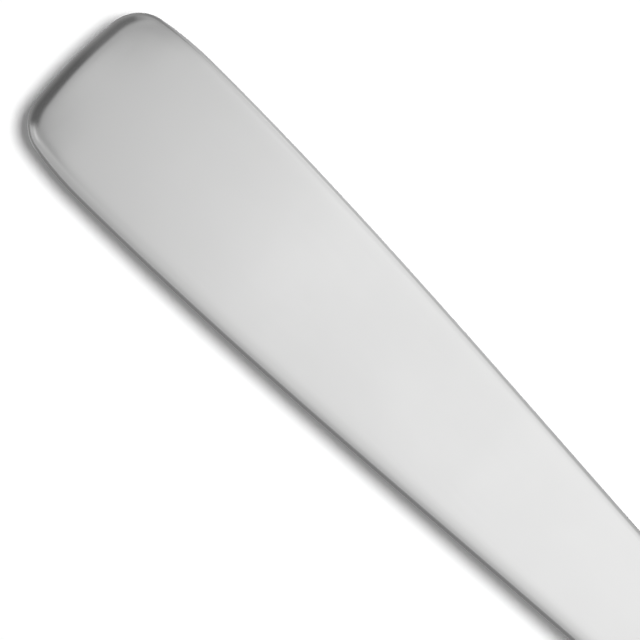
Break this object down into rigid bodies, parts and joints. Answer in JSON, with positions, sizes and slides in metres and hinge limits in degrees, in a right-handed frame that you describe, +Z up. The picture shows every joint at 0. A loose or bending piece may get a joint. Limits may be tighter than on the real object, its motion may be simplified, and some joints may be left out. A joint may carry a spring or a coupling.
{
  "type": "butter knife",
  "caption": "Butter knife with a hollow steel handle of brazed half shells, a slotted bolster and a broad round-tipped blade whose tang is cemented into the handle.",
  "frame": {"origin": "under the middle of the knife's length, on the handle's axis, in the plane of the handle's lower flat face on which it lies", "axes": "+X from the handle's end towards the blade's tip, +Y towards the blade's spine, +Z up, square to the blade's faces"},
  "size_m": [0.1772, 0.0192, 0.007],
  "materials": {
    "handle_steel": "satin polished stainless steel",
    "bolster_steel": "satin polished stainless steel",
    "blade_steel": "satin stainless steel with fine grinding lines across the blade",
    "braze": "silver braze, ground flush and polished",
    "cement": "dull grey cutler's cement"
  },
  "bodies": {
    "root": {"handle_upper_shell": "handle_steel", "handle_lower_shell": "handle_steel", "seam_braze": "braze", "mouth_braze": "braze", "cement_core": "cement", "bolster": "bolster_steel", "blade": "blade_steel"}
  },
  "joints": []
}
